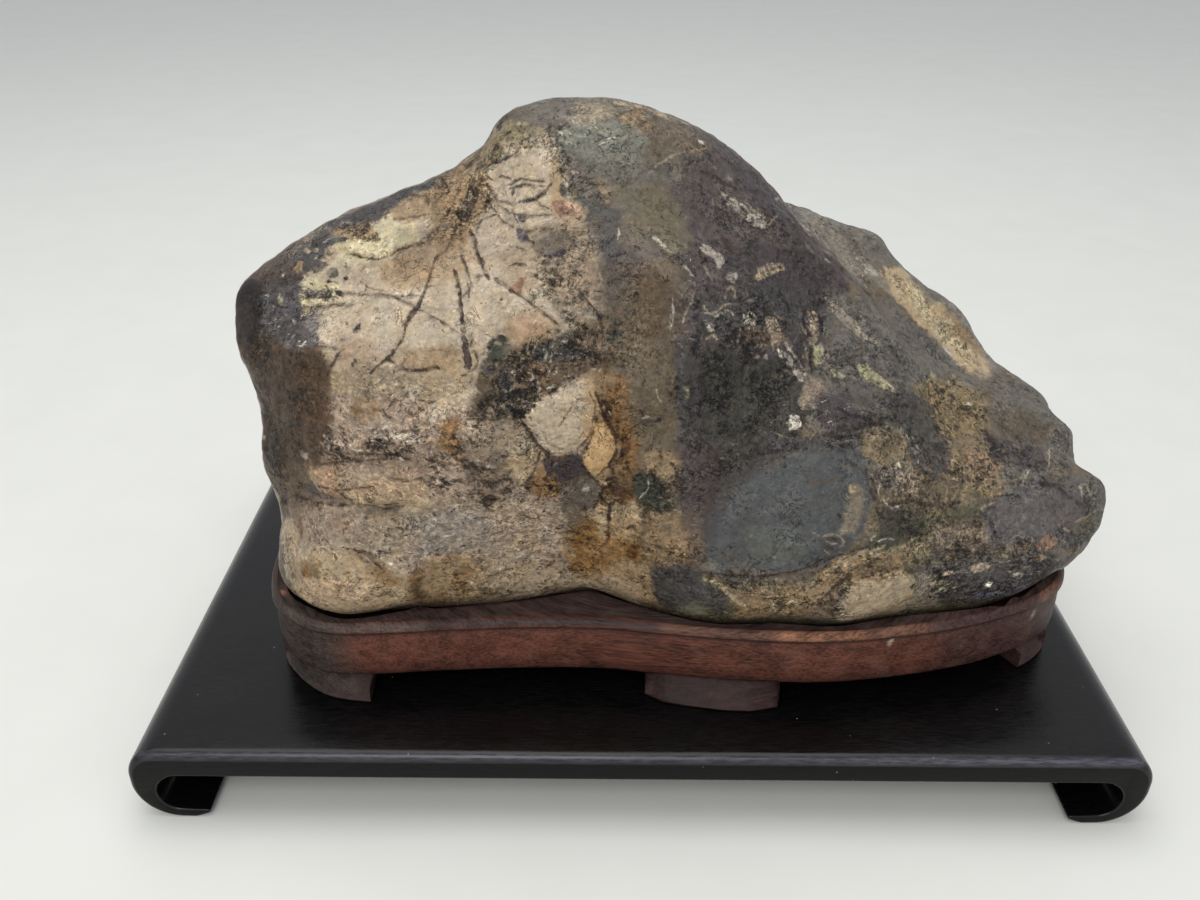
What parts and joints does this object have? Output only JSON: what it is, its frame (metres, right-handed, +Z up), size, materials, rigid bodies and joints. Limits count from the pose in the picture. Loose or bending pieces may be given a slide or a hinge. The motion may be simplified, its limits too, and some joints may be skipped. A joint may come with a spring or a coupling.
{
  "type": "viewing stone on stand",
  "caption": "Rugged natural viewing stone seated in a carved wooden base with low feet, set on a low black lacquered display table with scroll-rolled ends.",
  "frame": {"origin": "middle of the table in plan, on the surface that its scroll feet stand on", "axes": "+X along the table's length to the viewer's right, -Y is the viewed front, +Z up"},
  "size_m": [0.45, 0.3, 0.286],
  "materials": {
    "stone": "rubbed, semi-gloss, ivory and dark green-grey with rust-brown and dark veins",
    "carved_wood": "dark red-brown hardwood, hand rubbed, a little dusty",
    "black_lacquer": "thin black lacquer, satin, fine grain showing"
  },
  "bodies": {
    "root": {"stone": "stone", "daiza": "carved_wood", "table_board": "black_lacquer", "scroll_foot_left": "black_lacquer", "scroll_foot_right": "black_lacquer"}
  },
  "joints": []
}
